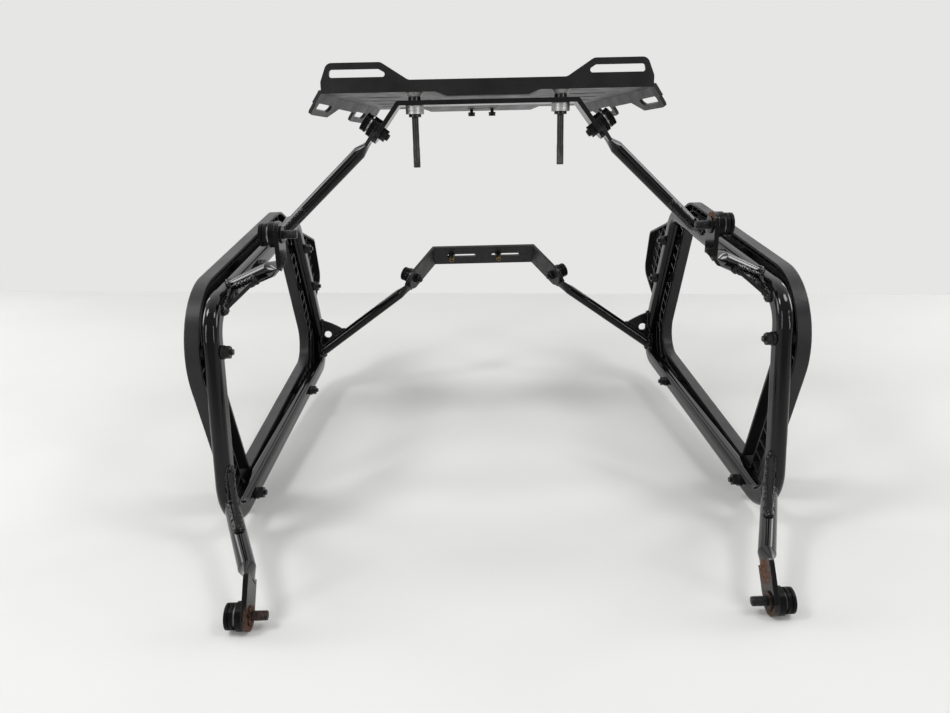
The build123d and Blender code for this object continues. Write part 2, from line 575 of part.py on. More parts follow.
# Fasteners: each frame sits on the outer face of a flattened tube end, axis pointing outward
fastener_planes = [
    Plane(Vector(*FOOT_EYE) + side_ways * (FLAT_T / 2), z_dir=side_ways),
    Plane(Vector(*ARM_EYE) + side_ways * (FLAT_T / 2), z_dir=side_ways),
    Plane(stay_eye + strap_out * (FLAT_T / 2), z_dir=strap_out),
    Plane(rear_eye + bracket_out * (FLAT_T / 2), z_dir=bracket_out),
]
RING_LOW = DISC_IN_H
OUTER_LOW = RING_LOW + DISC_RING_H
OUTER_HIGH = OUTER_LOW + DISC_OUT_H
SEAT = OUTER_HIGH - HEAD_H - 0.5
bolts = []
outer_discs = []
spacer_rings = []
inner_discs = []
for plane in fastener_planes:
    bore = stack(plane, HOLE_D, -BOLT_REACH, OUTER_HIGH)
    bolt = stack(plane, BOLT_D, -BOLT_REACH, -THREAD_FROM) + stack(plane, BOLT_SHANK_D, -THREAD_FROM, SEAT)
    bolt += stack(plane, HEAD_D, SEAT, SEAT + HEAD_H)
    bolts.append(bolt - hex_bar(plane, SOCKET_AF, SEAT + HEAD_H - SOCKET_DEPTH, SEAT + HEAD_H + 1))
    inner_discs.append(stack(plane, DISC_IN_D, 0, DISC_IN_H) - bore)
    spacer_rings.append(stack(plane, DISC_RING_D, RING_LOW, OUTER_LOW) - bore)
    disc = stack(plane, DISC_OUT_D, OUTER_LOW, OUTER_HIGH) - bore
    disc -= stack(plane, HEAD_D + 1, SEAT, OUTER_HIGH + 1)
    groove_low = OUTER_LOW + (DISC_OUT_H - DISC_GROOVE) / 2
    groove = stack(plane, DISC_OUT_D + 1, groove_low, groove_low + DISC_GROOVE)
    disc -= groove - stack(plane, DISC_OUT_D - 2 * DISC_GROOVE, groove_low, groove_low + DISC_GROOVE)
    outer_discs.append(disc)
washers = []
for plane in fastener_planes[:2]:
    ring_washer = stack(plane, WASHER_D, -FLAT_T - WASHER_T, -FLAT_T)
    washers.append(ring_washer - stack(plane, HOLE_D, -BOLT_REACH, 0))
nuts = []
for plane, strip in zip(fastener_planes[2:], (STRAP_T, BRACKET_T)):
    nut_top = -FLAT_T - strip
    nut = hex_bar(plane, NUT_AF, nut_top - NUT_H, nut_top)
    nuts.append(nut - stack(plane, BOLT_D + 0.2, nut_top - NUT_H, nut_top))

# Nodes
save("rack_plate", plate)
save("rack_cross_strap", strap)
save("tail_bolts", both_sides([tail_bolt]))
save("tail_spacers", both_sides([spacer]))
save("tail_collars", both_sides([collar]))
save("tail_retaining_washers", both_sides([retainer]))
save("plate_screws", both_sides([plate_screw]))
side_nodes = {"ring_tube": ring, "cover": cover, "front_leg": front_leg, "mount_arm": mount_arm,
              "upper_stay": upper_stay, "rear_stay": rear_stay, "rear_gusset": gusset,
              "leg_web": leg_web, "arm_web": arm_web, "stay_web": stay_web}
for name, shape in side_nodes.items():
    save("left_" + name, shape)
    save("right_" + name, other_side(shape))
save("left_cover_screws", cover_screws)
save("right_cover_screws", [other_side(screw) for screw in cover_screws])
save("rear_bracket", bracket)
save("bracket_slot_screws", slot_screws)
save("bracket_slot_nuts", slot_nuts)
save("fastener_bolts", both_sides(bolts))
save("fastener_outer_discs", both_sides(outer_discs))
save("fastener_spacer_rings", both_sides(spacer_rings))
save("fastener_inner_discs", both_sides(inner_discs))
save("mount_washers", both_sides(washers))
save("stay_nuts", both_sides(nuts))
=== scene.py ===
import json
import math

import bmesh
import bpy
import numpy as np
from mathutils import Matrix, Vector
from mathutils.bvhtree import BVHTree


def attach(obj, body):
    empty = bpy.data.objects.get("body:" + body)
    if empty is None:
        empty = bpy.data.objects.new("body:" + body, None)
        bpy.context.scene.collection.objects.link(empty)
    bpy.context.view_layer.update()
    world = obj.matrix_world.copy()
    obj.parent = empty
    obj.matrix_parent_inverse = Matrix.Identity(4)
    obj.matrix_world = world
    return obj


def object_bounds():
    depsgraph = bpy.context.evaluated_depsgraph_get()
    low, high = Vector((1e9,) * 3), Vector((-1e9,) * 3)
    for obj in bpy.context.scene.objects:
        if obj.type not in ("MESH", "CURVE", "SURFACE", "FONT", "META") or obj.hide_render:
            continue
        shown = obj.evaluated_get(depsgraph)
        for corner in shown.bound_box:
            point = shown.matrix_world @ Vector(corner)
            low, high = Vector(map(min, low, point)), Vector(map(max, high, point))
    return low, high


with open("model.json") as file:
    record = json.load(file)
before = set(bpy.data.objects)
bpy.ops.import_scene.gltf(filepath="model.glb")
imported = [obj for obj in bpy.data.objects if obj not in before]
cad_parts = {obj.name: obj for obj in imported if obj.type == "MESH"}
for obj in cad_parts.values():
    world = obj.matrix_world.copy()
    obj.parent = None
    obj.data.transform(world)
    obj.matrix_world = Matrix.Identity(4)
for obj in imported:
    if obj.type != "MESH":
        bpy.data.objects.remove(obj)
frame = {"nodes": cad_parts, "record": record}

cad_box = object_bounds()

# Lengths are in metres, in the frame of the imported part. Texture scales are in repeats for each metre.

# Camera, fitted to the photograph
CAMERA_AT = (-0.0319, -0.9084, -0.0441)
CAMERA_YAW = math.radians(0.62)
CAMERA_PITCH = math.radians(15.82)
CAMERA_ROLL = math.radians(1.28)
CAMERA_FOCAL_PX = 712.9
CAMERA_CLIP_START = 0.01
IMAGE_WIDTH_PX = 950
SENSOR_MM = 36.0

# Floor sheet: it ends where the wall begins in the photograph, and its colour is darkened on the camera's
# side as painted shade
FLOOR_Z = cad_box[0][2]
FLOOR_FAR_RIGHT_Y = 0.839
FLOOR_FAR_LEFT_Y = 1.496
FLOOR_NEAR_Y = -2.2
FLOOR_HALF_WIDTH = 2.2
FLOOR_PALE_Y = -0.5
FLOOR_PAINTED_SHADE_Y = -2.0
FLOOR_PALE = [(0.3, (0.80, 0.80, 0.79)), (0.7, (0.83, 0.83, 0.82))]
# Tones of the painted shade on the camera's side of the floor
FLOOR_PAINTED_SHADE = [(0.3, (0.34, 0.34, 0.34)), (0.7, (0.36, 0.36, 0.36))]
FLOOR_DRIFT_SCALE = 3.0
FLOOR_ROUGHNESS = 0.6
FLOOR_SPECULAR = 0.2

# Room: a pale wall ahead and a bright ceiling, both darker on the camera's side. Each turn is the range
# of a direction's Y or Z over which one tone turns into the next.
SKY_COLOUR = (0.80, 0.80, 0.79, 1)
SKY_STRENGTH = 0.6
WALL_TURN = (-0.45, 0.45)
CEILING_TURN = (0.35, 0.8)
WALL_STOPS = [(0.0, (0.3, 0.3, 0.302)), (1.0, (0.79, 0.79, 0.785))]
CEILING_STOPS = [(0.0, (0.4, 0.4, 0.4)), (1.0, (1.6, 1.6, 1.59))]

# Lamps: name, place, aim, width and height, watts
LAMPS = (
    ("key", (-1.1, -0.65, 1.2), (0, 0, -0.25), (0.4, 0.4), 9),
    ("fill", (1.0, -0.7, 1.25), (0, 0, -0.25), (0.4, 0.4), 6),
    ("left", (-2.56, -2.88, 0.68), (0, 0, -0.2), (0.28, 2.24), 30),
    ("right", (2.56, -2.88, 0.68), (0, 0, -0.2), (0.28, 2.24), 25),
    ("left_side", (-2.6, 0.35, 0.6), (0, 0, -0.2), (0.8, 0.9), 17),
    ("right_side", (2.6, 0.35, 0.6), (0, 0, -0.2), (0.8, 0.9), 16),
    ("left_back", (-2.0, 1.2, 1.0), (0, 0, -0.2), (0.3, 1.2), 5),
    ("right_back", (2.0, 1.2, 1.0), (0, 0, -0.2), (0.3, 1.2), 5),
)

# Weld beads. Each wander is a share of the radius, a turn for each step, and a start.
WELD_RADIUS = 0.0028
WELD_RADIUS_HEAVY = 0.0034
WELD_PITCH = 0.0034
WELD_RIPPLE = 0.3
WELD_WANDERS = ((0.14, 0.61, 0.0), (0.1, 0.23, 1.0))
WELD_STEP = 0.0009
WELD_SIDES = 10
WELD_TOUCH = 0.0007
WELD_SOFTENING = 6
WELD_END_SHARE = 0.35
WELD_END_GROWTH = 0.13
WELD_FEWEST_POINTS = 4
WELD_FEWEST_STEPS = 8
CORNER_JOIN = 1e-6
WELDS = (("front_leg", "ring_tube"), ("leg_web", "ring_tube"), ("leg_web", "front_leg"),
         ("mount_arm", "ring_tube"), ("arm_web", "ring_tube"), ("arm_web", "mount_arm"),
         ("upper_stay", "ring_tube"), ("stay_web", "ring_tube"), ("stay_web", "upper_stay"),
         ("rear_stay", "ring_tube"), ("rear_gusset", "ring_tube"), ("rear_gusset", "rear_stay"))
HEAVY_WELDS = ("leg_web", "arm_web")

# Bolt threads
THREAD_PITCH = 0.00125
THREAD_DEPTH = 0.00032
THREAD_SIDES = 28
THREAD_STEPS = 7
THREAD_CLEARANCE = 0.00003
THREAD_LEAD_LENGTH = 0.001
THREAD_LEAD_DEPTH = 0.0005
THREAD_PAST_TIP = 0.00012
THREAD_LENGTH_MOUNT = 0.0133
THREAD_LENGTH_TAIL = 0.024
TIP_RIM_BAND = 0.0004

# Rust: round one foot bolt, on the strip above the other foot's eye, and at the top of one arm tab
RUST_REACH = 0.021
RUST_TAB_REACH = 0.013
RUST_CORE_SHARE = 0.45
RUST_EDGE = (0.34, 0.46)
RUST_EDGE_SCALE = 260.0
RUST_STOPS = [(0.3, (0.03, 0.014, 0.008)), (0.52, (0.085, 0.036, 0.018)), (0.72, (0.19, 0.09, 0.05))]
RUST_COLOUR_SCALE = 420.0
RUST_ROUGHNESS = (0.7, 0.95)
RUST_ROUGHNESS_SCALE = 300.0
BOLT_RUST = 0.3
EYE_FROM_THREAD = 0.0105
EYE_FACE_FADE = 0.0014
EYE_RUST_DOWN = 0.006
EYE_RIM_DOWN = 0.012
EYE_RIM_RUST = 0.7
TAB_TOP_UP = 0.009
STRIP_UP = Vector((0, 0.53, 0.848))
STRIP_RUST_AT = 0.025
STRIP_RUST_REACH = 0.017
LEFT_FACE_IN = 0.0006
RIGHT_FACE_OUT = 0.0008

# Tail collars: above this height the colour is made pale, a painted reflection of the white floor
COLLAR_PAINTED_REFLECTION_Z = 0.0237
COLLAR_PAINTED_REFLECTION_FADE = 0.0006
# Tones of the painted reflection on the collars' upper cones
PAINTED_REFLECTION_STOPS = [(0.3, (0.26, 0.26, 0.255)), (0.7, (0.46, 0.46, 0.45))]
PAINTED_REFLECTION_SCALE = 240.0

# All finishes: where the noise is cut to make colour drift, octaves of each noise, grain and soft edges
DRIFT_FROM = 0.32
DRIFT_TO = 0.68
COLOUR_DETAIL = 6.0
ROUGHNESS_DETAIL = 5.0
GRAIN_DETAIL = 3.0
RUST_DETAIL = 8.0
BUMP_DISTANCE = 0.0004
BEVEL_SAMPLES = 6

bolt_places = {mount["name"]: Vector(mount["pos_m"]) for mount in frame["record"]["mounts"]}
outward = Vector((EYE_FROM_THREAD, 0, 0))
left_foot = bolt_places["left_foot_bolt"] + outward
right_foot = bolt_places["right_foot_bolt"] - outward
left_strip = left_foot + STRIP_UP * STRIP_RUST_AT
left_tab = bolt_places["left_arm_bolt"] + outward + Vector((0, 0, TAB_TOP_UP))


def link(tree, output, target):
    tree.links.new(output, target)


def place(tree):
    """Coordinates fixed to the part."""
    return tree.nodes.new("ShaderNodeTexCoord").outputs["Object"]


def noise(tree, scale, detail=4.0, stretch=(1, 1, 1)):
    """Cloudy variation; scale is in repeats for each metre."""
    mapping = tree.nodes.new("ShaderNodeMapping")
    mapping.inputs["Scale"].default_value = stretch
    texture = tree.nodes.new("ShaderNodeTexNoise")
    texture.inputs["Scale"].default_value = scale
    texture.inputs["Detail"].default_value = detail
    link(tree, place(tree), mapping.inputs["Vector"])
    link(tree, mapping.outputs["Vector"], texture.inputs["Vector"])
    return texture.outputs["Fac"]


def spread(tree, value, low, high, start=0.3, end=0.7):
    """Map a value from start..end to low..high."""
    node = tree.nodes.new("ShaderNodeMapRange")
    node.inputs["From Min"].default_value = start
    node.inputs["From Max"].default_value = end
    node.inputs["To Min"].default_value = low
    node.inputs["To Max"].default_value = high
    link(tree, value, node.inputs["Value"])
    return node.outputs["Result"]


def paired(tree, operation, a, b):
    """One number from two, by a math operation."""
    node = tree.nodes.new("ShaderNodeMath")
    node.operation = operation
    link(tree, a, node.inputs[0])
    link(tree, b, node.inputs[1])
    return node.outputs["Value"]


def times(tree, a, b):
    return paired(tree, "MULTIPLY", a, b)


def larger(tree, a, b):
    return paired(tree, "MAXIMUM", a, b)


def split(tree, vector):
    """The X, Y and Z of a vector."""
    node = tree.nodes.new("ShaderNodeSeparateXYZ")
    link(tree, vector, node.inputs["Vector"])
    return node.outputs


def tint(tree, value, stops):
    """Colour ramp from (position, colour) stops."""
    node = tree.nodes.new("ShaderNodeValToRGB")
    ramp = node.color_ramp
    while len(ramp.elements) < len(stops):
        ramp.elements.new(0.5)
    for element, (position, colour) in zip(ramp.elements, stops):
        element.position = position
        element.color = (*colour, 1)
    link(tree, value, node.inputs["Fac"])
    return node.outputs["Color"]


def blend(tree, share, first, second, kind="RGBA"):
    """Mix two colours or two numbers by a share."""
    node = tree.nodes.new("ShaderNodeMix")
    node.data_type = kind
    wanted = "RGBA" if kind == "RGBA" else "VALUE"
    low, high = [s for s in node.inputs if s.type == wanted][-2:]
    link(tree, share, node.inputs[0])
    link(tree, first, low)
    link(tree, second, high)
    return [s for s in node.outputs if s.type == wanted][0]


def near(tree, centre, reach, most=1.0):
    """The most at a point of the part, falling to 0 at reach."""
    node = tree.nodes.new("ShaderNodeVectorMath")
    node.operation = "DISTANCE"
    link(tree, place(tree), node.inputs[0])
    node.inputs[1].default_value = centre
    return spread(tree, node.outputs["Value"], most, 0.0, reach * RUST_CORE_SHARE, reach)


def inner_face(tree, limit):
    """1 nearer the middle plane of the part than limit, 0 beyond it."""
    size = tree.nodes.new("ShaderNodeMath")
    size.operation = "ABSOLUTE"
    link(tree, split(tree, place(tree))["X"], size.inputs[0])
    return spread(tree, size.outputs["Value"], 1.0, 0.0, limit - EYE_FACE_FADE, limit)


def rust_share(tree, patches, inboard_of):
    """How rusty each point is, from patches of (centre, reach) or (centre, reach, most)."""
    share = None
    for patch_at in patches:
        patch = near(tree, *patch_at)
        share = patch if share is None else larger(tree, share, patch)
    ragged = spread(tree, noise(tree, RUST_EDGE_SCALE, RUST_DETAIL), 0.0, 1.0, *RUST_EDGE)
    share = times(tree, share, ragged)
    if inboard_of is not None:
        share = times(tree, share, inner_face(tree, inboard_of))
    return share


def finish_of(name, colours, colour_scale, rough, rough_scale, grain, grain_scale, edge=0.0006,
              metallic=0.0, stretch=(1, 1, 1), specular=0.5, rust=(), inboard_of=None, painted_reflection_above=None):
    """A procedural surface: colour drift, roughness drift, fine grain, softened edges, rust patches, and a
    pale painted reflection above a given height.
    """
    material = bpy.data.materials.new(name)
    material.use_nodes = True
    tree = material.node_tree
    shader = tree.nodes["Principled BSDF"]
    shader.inputs["Metallic"].default_value = metallic
    shader.inputs["Specular IOR Level"].default_value = specular
    drift = noise(tree, colour_scale, COLOUR_DETAIL, stretch)
    colour = tint(tree, drift, [(DRIFT_FROM, colours[0]), (DRIFT_TO, colours[1])])
    roughness = spread(tree, noise(tree, rough_scale, ROUGHNESS_DETAIL, stretch), *rough)
    height = noise(tree, grain_scale, GRAIN_DETAIL, stretch)
    # Painted reflection: the colour above the given height turns pale, standing in for the floor seen in the
    # glossy underside
    if painted_reflection_above is not None:
        up = split(tree, place(tree))["Z"]
        reflected_share = spread(tree, up, 0.0, 1.0, painted_reflection_above, painted_reflection_above + COLLAR_PAINTED_REFLECTION_FADE)
        colour = blend(tree, reflected_share, colour, tint(tree, noise(tree, PAINTED_REFLECTION_SCALE), PAINTED_REFLECTION_STOPS))
    if rust:
        share = rust_share(tree, rust, inboard_of)
        rusty = tint(tree, noise(tree, RUST_COLOUR_SCALE, RUST_DETAIL), RUST_STOPS)
        colour = blend(tree, share, colour, rusty)
        rough_rust = spread(tree, noise(tree, RUST_ROUGHNESS_SCALE), *RUST_ROUGHNESS)
        roughness = blend(tree, share, roughness, rough_rust, "FLOAT")
    link(tree, colour, shader.inputs["Base Color"])
    link(tree, roughness, shader.inputs["Roughness"])
    soft = tree.nodes.new("ShaderNodeBevel")
    soft.samples = BEVEL_SAMPLES
    soft.inputs["Radius"].default_value = edge
    bump = tree.nodes.new("ShaderNodeBump")
    bump.inputs["Strength"].default_value = grain
    bump.inputs["Distance"].default_value = BUMP_DISTANCE
    link(tree, height, bump.inputs["Height"])
    link(tree, soft.outputs["Normal"], bump.inputs["Normal"])
    link(tree, bump.outputs["Normal"], shader.inputs["Normal"])
    return material


ENAMEL = dict(colours=((0.0018, 0.0018, 0.0022), (0.004, 0.004, 0.0046)), colour_scale=18,
              rough=(0.04, 0.11), rough_scale=25, grain=0.012, grain_scale=200, specular=0.3)
OXIDE = dict(colours=((0.007, 0.007, 0.0075), (0.022, 0.022, 0.023)), colour_scale=220,
             rough=(0.25, 0.42), rough_scale=260, grain=0.15, grain_scale=900, metallic=0.3, edge=0.0004,
             specular=0.25)
COLLAR = dict(colours=((0.004, 0.004, 0.004), (0.011, 0.011, 0.011)), colour_scale=90,
              rough=(0.14, 0.28), rough_scale=120, grain=0.08, grain_scale=700)

# Finishes by material slot
enamel = finish_of("frame_enamel", **ENAMEL)
materials = {
    "frame_black": enamel,
    "rack_black": finish_of(
        "rack_powder_coat", colours=((0.006, 0.006, 0.0065), (0.012, 0.012, 0.0126)), colour_scale=30,
        rough=(0.34, 0.48), rough_scale=40, grain=0.2, grain_scale=1500, specular=0.32),
    "strap_black": finish_of(
        "strap_enamel", colours=((0.003, 0.003, 0.0034), (0.007, 0.007, 0.0075)), colour_scale=30,
        rough=(0.12, 0.24), rough_scale=40, grain=0.08, grain_scale=900, specular=0.35),
    "bracket_black": finish_of(
        "bracket_powder_coat", colours=((0.006, 0.006, 0.0065), (0.012, 0.012, 0.0125)), colour_scale=40,
        rough=(0.3, 0.46), rough_scale=60, grain=0.16, grain_scale=1400, specular=0.35),
    "cover_plastic": finish_of(
        "cover_moulded_plastic", colours=((0.009, 0.009, 0.0097), (0.016, 0.016, 0.017)), colour_scale=14,
        rough=(0.3, 0.42), rough_scale=35, grain=0.3, grain_scale=1100, edge=0.0008, specular=0.28),
    "disc_rubber": finish_of(
        "disc_rubber", colours=((0.0015, 0.0015, 0.0015), (0.004, 0.004, 0.0042)), colour_scale=120,
        rough=(0.26, 0.4), rough_scale=160, grain=0.15, grain_scale=900, specular=0.1),
    "collar_black": finish_of("collar_black", **COLLAR),
    "screw_black": finish_of("screw_black_oxide", **OXIDE),
    "bolt_steel": finish_of(
        "tail_bolt_steel", colours=((0.03, 0.03, 0.031), (0.08, 0.08, 0.08)), colour_scale=160,
        rough=(0.35, 0.55), rough_scale=240, grain=0.15, grain_scale=900, metallic=0.8, edge=0.0004,
        stretch=(1, 1, 0.3)),
    "raw_aluminium": finish_of(
        "spacer_aluminium", colours=((0.42, 0.42, 0.41), (0.62, 0.62, 0.6)), colour_scale=260,
        rough=(0.34, 0.5), rough_scale=300, grain=0.2, grain_scale=1200, metallic=0.85, edge=0.0005,
        stretch=(0.2, 0.2, 3.0)),
    "zinc_screw": finish_of(
        "screw_yellow_zinc", colours=((0.14, 0.1, 0.045), (0.30, 0.22, 0.11)), colour_scale=300,
        rough=(0.3, 0.5), rough_scale=300, grain=0.15, grain_scale=900, metallic=0.8, edge=0.0004),
    "bright_steel": finish_of(
        "ring_bright_steel", colours=((0.40, 0.40, 0.40), (0.62, 0.62, 0.61)), colour_scale=300,
        rough=(0.28, 0.42), rough_scale=300, grain=0.12, grain_scale=900, metallic=0.9, edge=0.0003),
    "rusty_steel": finish_of(
        "washer_rust", **OXIDE, rust=[(right_foot, RUST_REACH), (left_foot, RUST_REACH, BOLT_RUST)]),
}

# Finishes of single nodes, where rust shows, or where a painted reflection is laid on the collars
special = {
    # The collars' upper cones get a pale painted reflection of the floor
    "tail_collars": finish_of("collar_black_with_painted_reflection", **COLLAR, painted_reflection_above=COLLAR_PAINTED_REFLECTION_Z),
    "left_front_leg": finish_of(
        "left_leg_enamel_rusted", **ENAMEL, inboard_of=left_foot.x - LEFT_FACE_IN,
        rust=[(left_strip, STRIP_RUST_REACH),
              (left_foot - STRIP_UP * EYE_RIM_DOWN, RUST_TAB_REACH, EYE_RIM_RUST)]),
    "right_front_leg": finish_of(
        "right_leg_enamel_rusted", **ENAMEL, inboard_of=left_foot.x + RIGHT_FACE_OUT,
        rust=[(right_foot - STRIP_UP * EYE_RUST_DOWN, RUST_REACH)]),
    "left_mount_arm": finish_of(
        "arm_enamel_rusted", **ENAMEL, inboard_of=left_tab.x, rust=[(left_tab, RUST_TAB_REACH)]),
    "fastener_bolts": finish_of(
        "bolt_black_rusted", **OXIDE, rust=[(right_foot + outward, RUST_REACH, BOLT_RUST)]),
}
slot_of = {part["node"]: part["material_slot"] for part in frame["record"]["subparts"]}
for name, node in frame["nodes"].items():
    node.data.materials.clear()
    node.data.materials.append(special.get(name, materials[slot_of[name]]))


def add_piece(name, verts, faces, material):
    """A smooth mesh that belongs to the part."""
    mesh = bpy.data.meshes.new(name)
    mesh.from_pydata([tuple(v) for v in verts], [], faces)
    mesh.polygons.foreach_set("use_smooth", [True] * len(mesh.polygons))
    mesh.materials.append(material)
    piece = bpy.data.objects.new(name, mesh)
    bpy.context.scene.collection.objects.link(piece)
    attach(piece, "root")
    return piece


def merged(node):
    """A bmesh copy of a CAD node with its split corners joined."""
    mesh = bmesh.new()
    mesh.from_mesh(frame["nodes"][node].data)
    bmesh.ops.remove_doubles(mesh, verts=mesh.verts, dist=CORNER_JOIN)
    return mesh


def seams(node, other):
    """Runs of points around the faces where one node sits on another."""
    mesh = merged(node)
    base = merged(other)
    surface = BVHTree.FromBMesh(base)
    close = {v: surface.find_nearest(v.co)[3] < WELD_TOUCH for v in mesh.verts}
    seated = {f for f in mesh.faces if all(close[v] for v in f.verts)
              and surface.find_nearest(f.calc_center_median())[3] < WELD_TOUCH}
    border = [e for e in mesh.edges if sum(f in seated for f in e.link_faces) == 1]
    links = {}
    for edge in border:
        a, b = edge.verts
        links.setdefault(a, []).append(b)
        links.setdefault(b, []).append(a)
    runs = []
    left = set(links)
    while left:
        start = min((v for v in left), key=lambda v: (len(links[v]) != 1, v.index))
        run = [start]
        left.discard(start)
        while True:
            ahead = [v for v in links[run[-1]] if v in left]
            if not ahead:
                break
            run.append(ahead[0])
            left.discard(ahead[0])
        closed = len(run) > 2 and run[0] in links[run[-1]]
        runs.append(([v.co.copy() for v in run], closed))
    mesh.free()
    base.free()
    return runs


def even_steps(points, closed, step):
    """Points at even spacing along a run, and the run's length."""
    path = points + [points[0]] if closed else points
    lengths = [0.0]
    for a, b in zip(path, path[1:]):
        lengths.append(lengths[-1] + (b - a).length)
    count = max(WELD_FEWEST_STEPS, int(lengths[-1] / step))
    spots = []
    k = 0
    for i in range(count if closed else count + 1):
        want = lengths[-1] * i / count
        while k < len(path) - 2 and lengths[k + 1] < want:
            k += 1
        span = lengths[k + 1] - lengths[k]
        spots.append(path[k].lerp(path[k + 1], (want - lengths[k]) / span if span > 0 else 0))
    return spots, lengths[-1]


def softened(points, closed, rounds):
    """Round off the corners of a run by averaging neighbours."""
    count = len(points)
    for _ in range(rounds):
        moved = []
        for i, point in enumerate(points):
            if not closed and i in (0, count - 1):
                moved.append(point)
            else:
                moved.append((points[i - 1] + point * 2 + points[(i + 1) % count]) / 4)
        points = moved
    return points


def weld_bead(name, points, closed, radius):
    """A rippled bead swept along a run of points."""
    points, length = even_steps(points, closed, WELD_STEP)
    points = softened(points, closed, WELD_SOFTENING)
    count = len(points)
    verts = []
    normal = None
    for i, point in enumerate(points):
        ahead = points[(i + 1) % count] if closed or i < count - 1 else point
        behind = points[i - 1] if closed or i > 0 else point
        tangent = (ahead - behind).normalized()
        if normal is None:
            normal = tangent.orthogonal().normalized()
        normal = (normal - tangent * normal.dot(tangent)).normalized()
        across = tangent.cross(normal)
        phase = (i / count * length / WELD_PITCH) % 1.0
        wander = sum(share * math.sin(i * turn + start) for share, turn, start in WELD_WANDERS)
        size = radius * (1 + WELD_RIPPLE * (1 - phase) - WELD_RIPPLE / 2 + wander)
        if not closed:
            size *= min(1.0, WELD_END_SHARE + WELD_END_GROWTH * min(i, count - 1 - i))
        for k in range(WELD_SIDES):
            turn = math.tau * k / WELD_SIDES
            verts.append(point + (normal * math.cos(turn) + across * math.sin(turn)) * size)
    faces = []
    for i in range(count if closed else count - 1):
        for k in range(WELD_SIDES):
            a = i * WELD_SIDES + k
            b = i * WELD_SIDES + (k + 1) % WELD_SIDES
            shift = ((i + 1) % count - i) * WELD_SIDES
            faces.append((a, b, b + shift, a + shift))
    if not closed:
        faces.append(tuple(reversed(range(WELD_SIDES))))
        faces.append(tuple((count - 1) * WELD_SIDES + k for k in range(WELD_SIDES)))
    return add_piece(name, verts, faces, enamel)


for side in ("left", "right"):
    for part, base in WELDS:
        radius = WELD_RADIUS_HEAVY if part in HEAVY_WELDS else WELD_RADIUS
        for number, (points, closed) in enumerate(seams(f"{side}_{part}", f"{side}_{base}")):
            if len(points) >= WELD_FEWEST_POINTS:
                weld_bead(f"{side}_{part}_{base}_weld_{number}", points, closed, radius)


def islands(node):
    """Points of each separate solid in a node, in a fixed order."""
    mesh = merged(node)
    left = dict.fromkeys(mesh.verts)
    groups = []
    while left:
        stack = [left.popitem()[0]]
        group = []
        while stack:
            vert = stack.pop()
            group.append(vert.co.copy())
            for edge in vert.link_edges:
                other = edge.other_vert(vert)
                if other in left:
                    del left[other]
                    stack.append(other)
        groups.append(group)
    mesh.free()
    return sorted(groups, key=lambda group: tuple(min(group, key=tuple)))


def bolt_axis(points):
    """Tip centre, direction from tip to head, and tip radius of one bolt."""
    cloud = np.array([tuple(p) for p in points])
    centre = cloud.mean(axis=0)
    axis = np.linalg.svd(cloud - centre)[2][0]
    along = (cloud - centre) @ axis
    ends = []
    for rim in (cloud[along < along.min() + TIP_RIM_BAND], cloud[along > along.max() - TIP_RIM_BAND]):
        middle = rim.mean(axis=0)
        ends.append((np.linalg.norm(rim - middle, axis=1).max(), middle))
    ends.sort(key=lambda end: end[0])
    tip, head = Vector(ends[0][1]), Vector(ends[1][1])
    return tip, (head - tip).normalized(), float(ends[0][0])


def thread(name, tip, way, radius, length, material, slot):
    """A capped sleeve with a helical ridge around the end of a bolt."""
    across = way.orthogonal().normalized()
    third = way.cross(across)
    rings = int(length / THREAD_PITCH * THREAD_STEPS)
    verts = []
    for i in range(rings + 1):
        run = length * i / rings
        ease = min(1.0, (length - run) / THREAD_PITCH)
        lead = max(0.0, 1.0 - run / THREAD_LEAD_LENGTH)
        for k in range(THREAD_SIDES):
            phase = (run / THREAD_PITCH - k / THREAD_SIDES) % 1.0
            ridge = 1.0 - abs(2 * phase - 1.0)
            size = radius + THREAD_CLEARANCE + THREAD_DEPTH * ridge * ease - THREAD_LEAD_DEPTH * lead
            turn = math.tau * k / THREAD_SIDES
            outwards = across * math.cos(turn) + third * math.sin(turn)
            verts.append(tip + way * (run - THREAD_PAST_TIP) + outwards * size)
    faces = []
    for i in range(rings):
        for k in range(THREAD_SIDES):
            a = i * THREAD_SIDES + k
            b = i * THREAD_SIDES + (k + 1) % THREAD_SIDES
            faces.append((a, a + THREAD_SIDES, b + THREAD_SIDES, b))
    faces.append(tuple(range(THREAD_SIDES)))
    faces.append(tuple(reversed(range(rings * THREAD_SIDES, (rings + 1) * THREAD_SIDES))))
    return add_piece(name, verts, faces, material)


for number, points in enumerate(islands("fastener_bolts")):
    thread(f"fastener_thread_{number}", *bolt_axis(points), THREAD_LENGTH_MOUNT,
           special["fastener_bolts"], "screw_black")
for number, points in enumerate(islands("tail_bolts")):
    thread(f"tail_thread_{number}", *bolt_axis(points), THREAD_LENGTH_TAIL,
           materials["bolt_steel"], "bolt_steel")

# Floor
floor_mesh = bpy.data.meshes.new("floor")
floor_mesh.from_pydata([(-FLOOR_HALF_WIDTH, FLOOR_NEAR_Y, FLOOR_Z), (FLOOR_HALF_WIDTH, FLOOR_NEAR_Y, FLOOR_Z),
                        (FLOOR_HALF_WIDTH, FLOOR_FAR_RIGHT_Y, FLOOR_Z),
                        (-FLOOR_HALF_WIDTH, FLOOR_FAR_LEFT_Y, FLOOR_Z)], [], [(0, 1, 2, 3)])
floor = bpy.data.objects.new("floor", floor_mesh)
bpy.context.scene.collection.objects.link(floor)
floor_material = bpy.data.materials.new("floor_pale")
floor_material.use_nodes = True
floor_tree = floor_material.node_tree
floor_shader = floor_tree.nodes["Principled BSDF"]
floor_shader.inputs["Roughness"].default_value = FLOOR_ROUGHNESS
floor_shader.inputs["Specular IOR Level"].default_value = FLOOR_SPECULAR
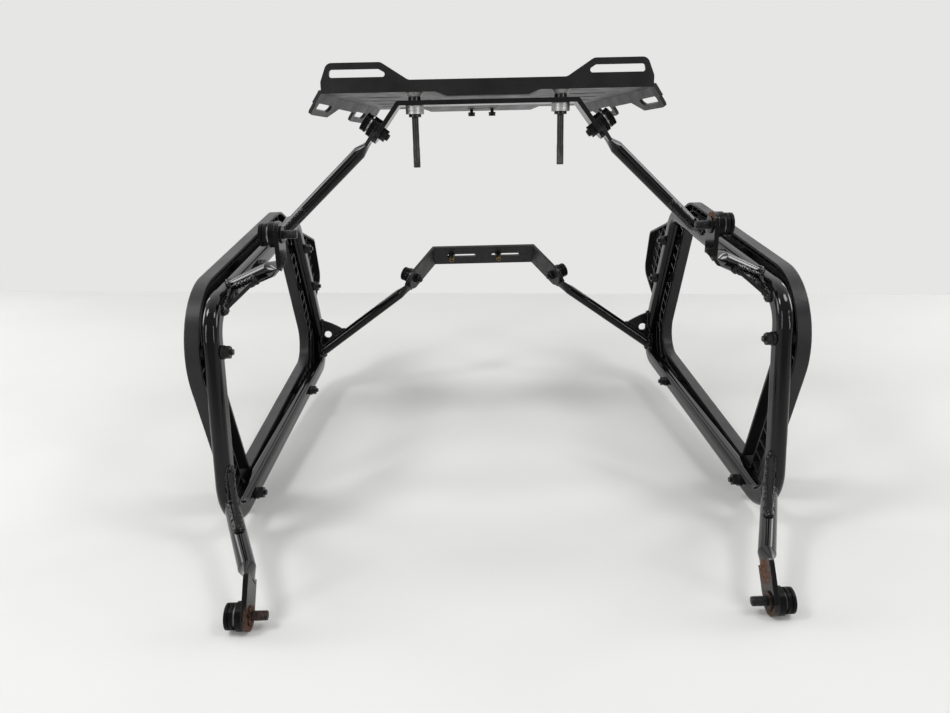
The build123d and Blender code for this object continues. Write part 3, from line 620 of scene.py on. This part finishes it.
# Painted shade: the floor colour turns dark towards the camera's side
painted_shade_share = spread(floor_tree, split(floor_tree, place(floor_tree))["Y"], 1.0, 0.0, FLOOR_PAINTED_SHADE_Y, FLOOR_PALE_Y)
pale = tint(floor_tree, noise(floor_tree, FLOOR_DRIFT_SCALE), FLOOR_PALE)
painted_shade = tint(floor_tree, noise(floor_tree, FLOOR_DRIFT_SCALE), FLOOR_PAINTED_SHADE)
link(floor_tree, blend(floor_tree, painted_shade_share, pale, painted_shade), floor_shader.inputs["Base Color"])
floor_mesh.materials.append(floor_material)

# Room: the sky lights the part, and the walls and ceiling are what the camera and shiny surfaces see
world = bpy.data.worlds.new("studio")
bpy.context.scene.world = world
world.use_nodes = True
room = world.node_tree
sky = room.nodes["Background"]
sky.inputs["Color"].default_value = SKY_COLOUR
sky.inputs["Strength"].default_value = SKY_STRENGTH
seen = room.nodes.new("ShaderNodeBackground")
seen.inputs["Strength"].default_value = 1.0
facing = split(room, room.nodes.new("ShaderNodeTexCoord").outputs["Generated"])
toward_wall = spread(room, facing["Y"], 0.0, 1.0, *WALL_TURN)
upward = spread(room, facing["Z"], 0.0, 1.0, *CEILING_TURN)
walls = tint(room, toward_wall, WALL_STOPS)
ceiling = tint(room, toward_wall, CEILING_STOPS)
link(room, blend(room, upward, walls, ceiling), seen.inputs["Color"])
path = room.nodes.new("ShaderNodeLightPath")
shown = larger(room, path.outputs["Is Camera Ray"], path.outputs["Is Glossy Ray"])
shown = larger(room, shown, path.outputs["Is Transmission Ray"])
either = room.nodes.new("ShaderNodeMixShader")
link(room, shown, either.inputs["Fac"])
link(room, sky.outputs["Background"], either.inputs[1])
link(room, seen.outputs["Background"], either.inputs[2])
link(room, either.outputs["Shader"], room.nodes["World Output"].inputs["Surface"])

# Lamps
for name, at, aim, size, watts in LAMPS:
    lamp = bpy.data.lights.new(name, "AREA")
    lamp.shape = "RECTANGLE"
    lamp.size, lamp.size_y = size
    lamp.energy = watts
    light = bpy.data.objects.new(name, lamp)
    light.location = at
    light.rotation_euler = (Vector(aim) - Vector(at)).to_track_quat("-Z", "Y").to_euler()
    bpy.context.scene.collection.objects.link(light)

# Camera
camera_data = bpy.data.cameras.new("camera")
camera_data.sensor_fit = "HORIZONTAL"
camera_data.sensor_width = SENSOR_MM
camera_data.lens = CAMERA_FOCAL_PX / IMAGE_WIDTH_PX * SENSOR_MM
camera_data.clip_start = CAMERA_CLIP_START
camera = bpy.data.objects.new("camera", camera_data)
look = Vector((math.sin(CAMERA_YAW) * math.cos(CAMERA_PITCH), math.cos(CAMERA_YAW) * math.cos(CAMERA_PITCH),
               -math.sin(CAMERA_PITCH)))
right = Vector((math.cos(CAMERA_YAW), -math.sin(CAMERA_YAW), 0))
down = look.cross(right)
rolled_right = right * math.cos(CAMERA_ROLL) + down * math.sin(CAMERA_ROLL)
rolled_down = down * math.cos(CAMERA_ROLL) - right * math.sin(CAMERA_ROLL)
turned = Matrix((rolled_right, -rolled_down, -look)).transposed()
camera.matrix_world = Matrix.Translation(CAMERA_AT) @ turned.to_4x4()
bpy.context.scene.collection.objects.link(camera)
bpy.context.scene.camera = camera
bpy.context.scene.view_settings.view_transform = "Standard"
